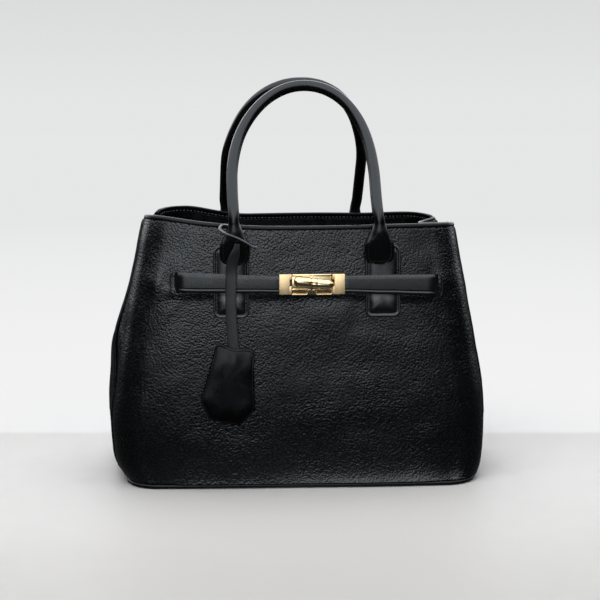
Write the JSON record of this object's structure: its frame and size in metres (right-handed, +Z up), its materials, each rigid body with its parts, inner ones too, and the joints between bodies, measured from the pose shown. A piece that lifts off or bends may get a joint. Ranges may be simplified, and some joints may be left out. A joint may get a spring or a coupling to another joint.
{
  "type": "tote bag",
  "caption": "Structured leather tote bag with rolled swinging handles, a belt closed by a turn lock, folded side gussets and a hanging key case.",
  "frame": {"origin": "centre of the base, on the surface that the bag stands on", "axes": "+X from the bag's left to its right as seen from the front, +Y from its front to its back, +Z up"},
  "size_m": [0.3704, 0.163, 0.3817],
  "materials": {
    "grain_leather": "pebbled grain, semi-matt black",
    "smooth_leather": "smooth, satin black",
    "lining_fabric": "plain weave, matt black",
    "fibre_board": "pressed fibre board, raw",
    "satin_gold": "satin, pale gold",
    "polished_gold": "polished, pale gold"
  },
  "bodies": {
    "root": {"front_panel": "grain_leather", "back_panel": "grain_leather", "left_gusset": "grain_leather", "right_gusset": "grain_leather", "lining": "lining_fabric", "front_facing": "smooth_leather", "back_facing": "smooth_leather", "front_binding": "smooth_leather", "back_binding": "smooth_leather", "front_left_piping": "smooth_leather", "front_right_piping": "smooth_leather", "back_left_piping": "smooth_leather", "back_right_piping": "smooth_leather", "base_panel": "grain_leather", "base_welt": "smooth_leather", "base_board": "fibre_board", "front_left_patch": "smooth_leather", "front_right_patch": "smooth_leather", "back_left_patch": "smooth_leather", "back_right_patch": "smooth_leather", "front_left_tab": "smooth_leather", "front_right_tab": "smooth_leather", "back_left_tab": "smooth_leather", "back_right_tab": "smooth_leather", "left_belt": "smooth_leather", "right_belt": "smooth_leather", "lock_base": "polished_gold", "lock_backplate": "satin_gold", "key_case_loop": "smooth_leather"},
    "front_handle": {"front_handle": "smooth_leather"},
    "back_handle": {"back_handle": "smooth_leather"},
    "key_case": {"key_case_strap": "smooth_leather", "key_case_front": "smooth_leather", "key_case_back": "smooth_leather"},
    "left_belt_tip": {"left_belt_tip": "smooth_leather", "left_lock_plate": "satin_gold"},
    "right_belt_tip": {"right_belt_tip": "smooth_leather", "right_lock_plate": "satin_gold"},
    "turn_bar": {"turn_bar": "polished_gold"}
  },
  "joints": [
    {"name": "front_handle_swing", "type": "hinge", "parent": "root", "child": "front_handle", "pos_m": [0, -0.07694, 0.243], "axis": [1, 0, 0], "range_deg": [0, 90]},
    {"name": "back_handle_swing", "type": "hinge", "parent": "root", "child": "back_handle", "pos_m": [0, 0.07694, 0.243], "axis": [-1, 0, 0], "range_deg": [0, 90]},
    {"name": "key_case_swing", "type": "hinge", "parent": "root", "child": "key_case", "pos_m": [-0.0683, -0.07893, 0.23077], "axis": [-1, 0, 0], "range_deg": [0, 60]},
    {"name": "left_belt_tip_bend", "type": "hinge", "parent": "root", "child": "left_belt_tip", "pos_m": [-0.05, -0.07332, 0.192], "axis": [0, -0.095, -0.9955], "range_deg": [0, 80]},
    {"name": "right_belt_tip_bend", "type": "hinge", "parent": "root", "child": "right_belt_tip", "pos_m": [0.05, -0.07332, 0.192], "axis": [0, 0.095, 0.9955], "range_deg": [0, 80]},
    {"name": "turn_bar_turn", "type": "hinge", "parent": "root", "child": "turn_bar", "pos_m": [0.004, -0.07641, 0.19356], "axis": [0, -0.9955, 0.095], "range_deg": [0, 90]}
  ]
}
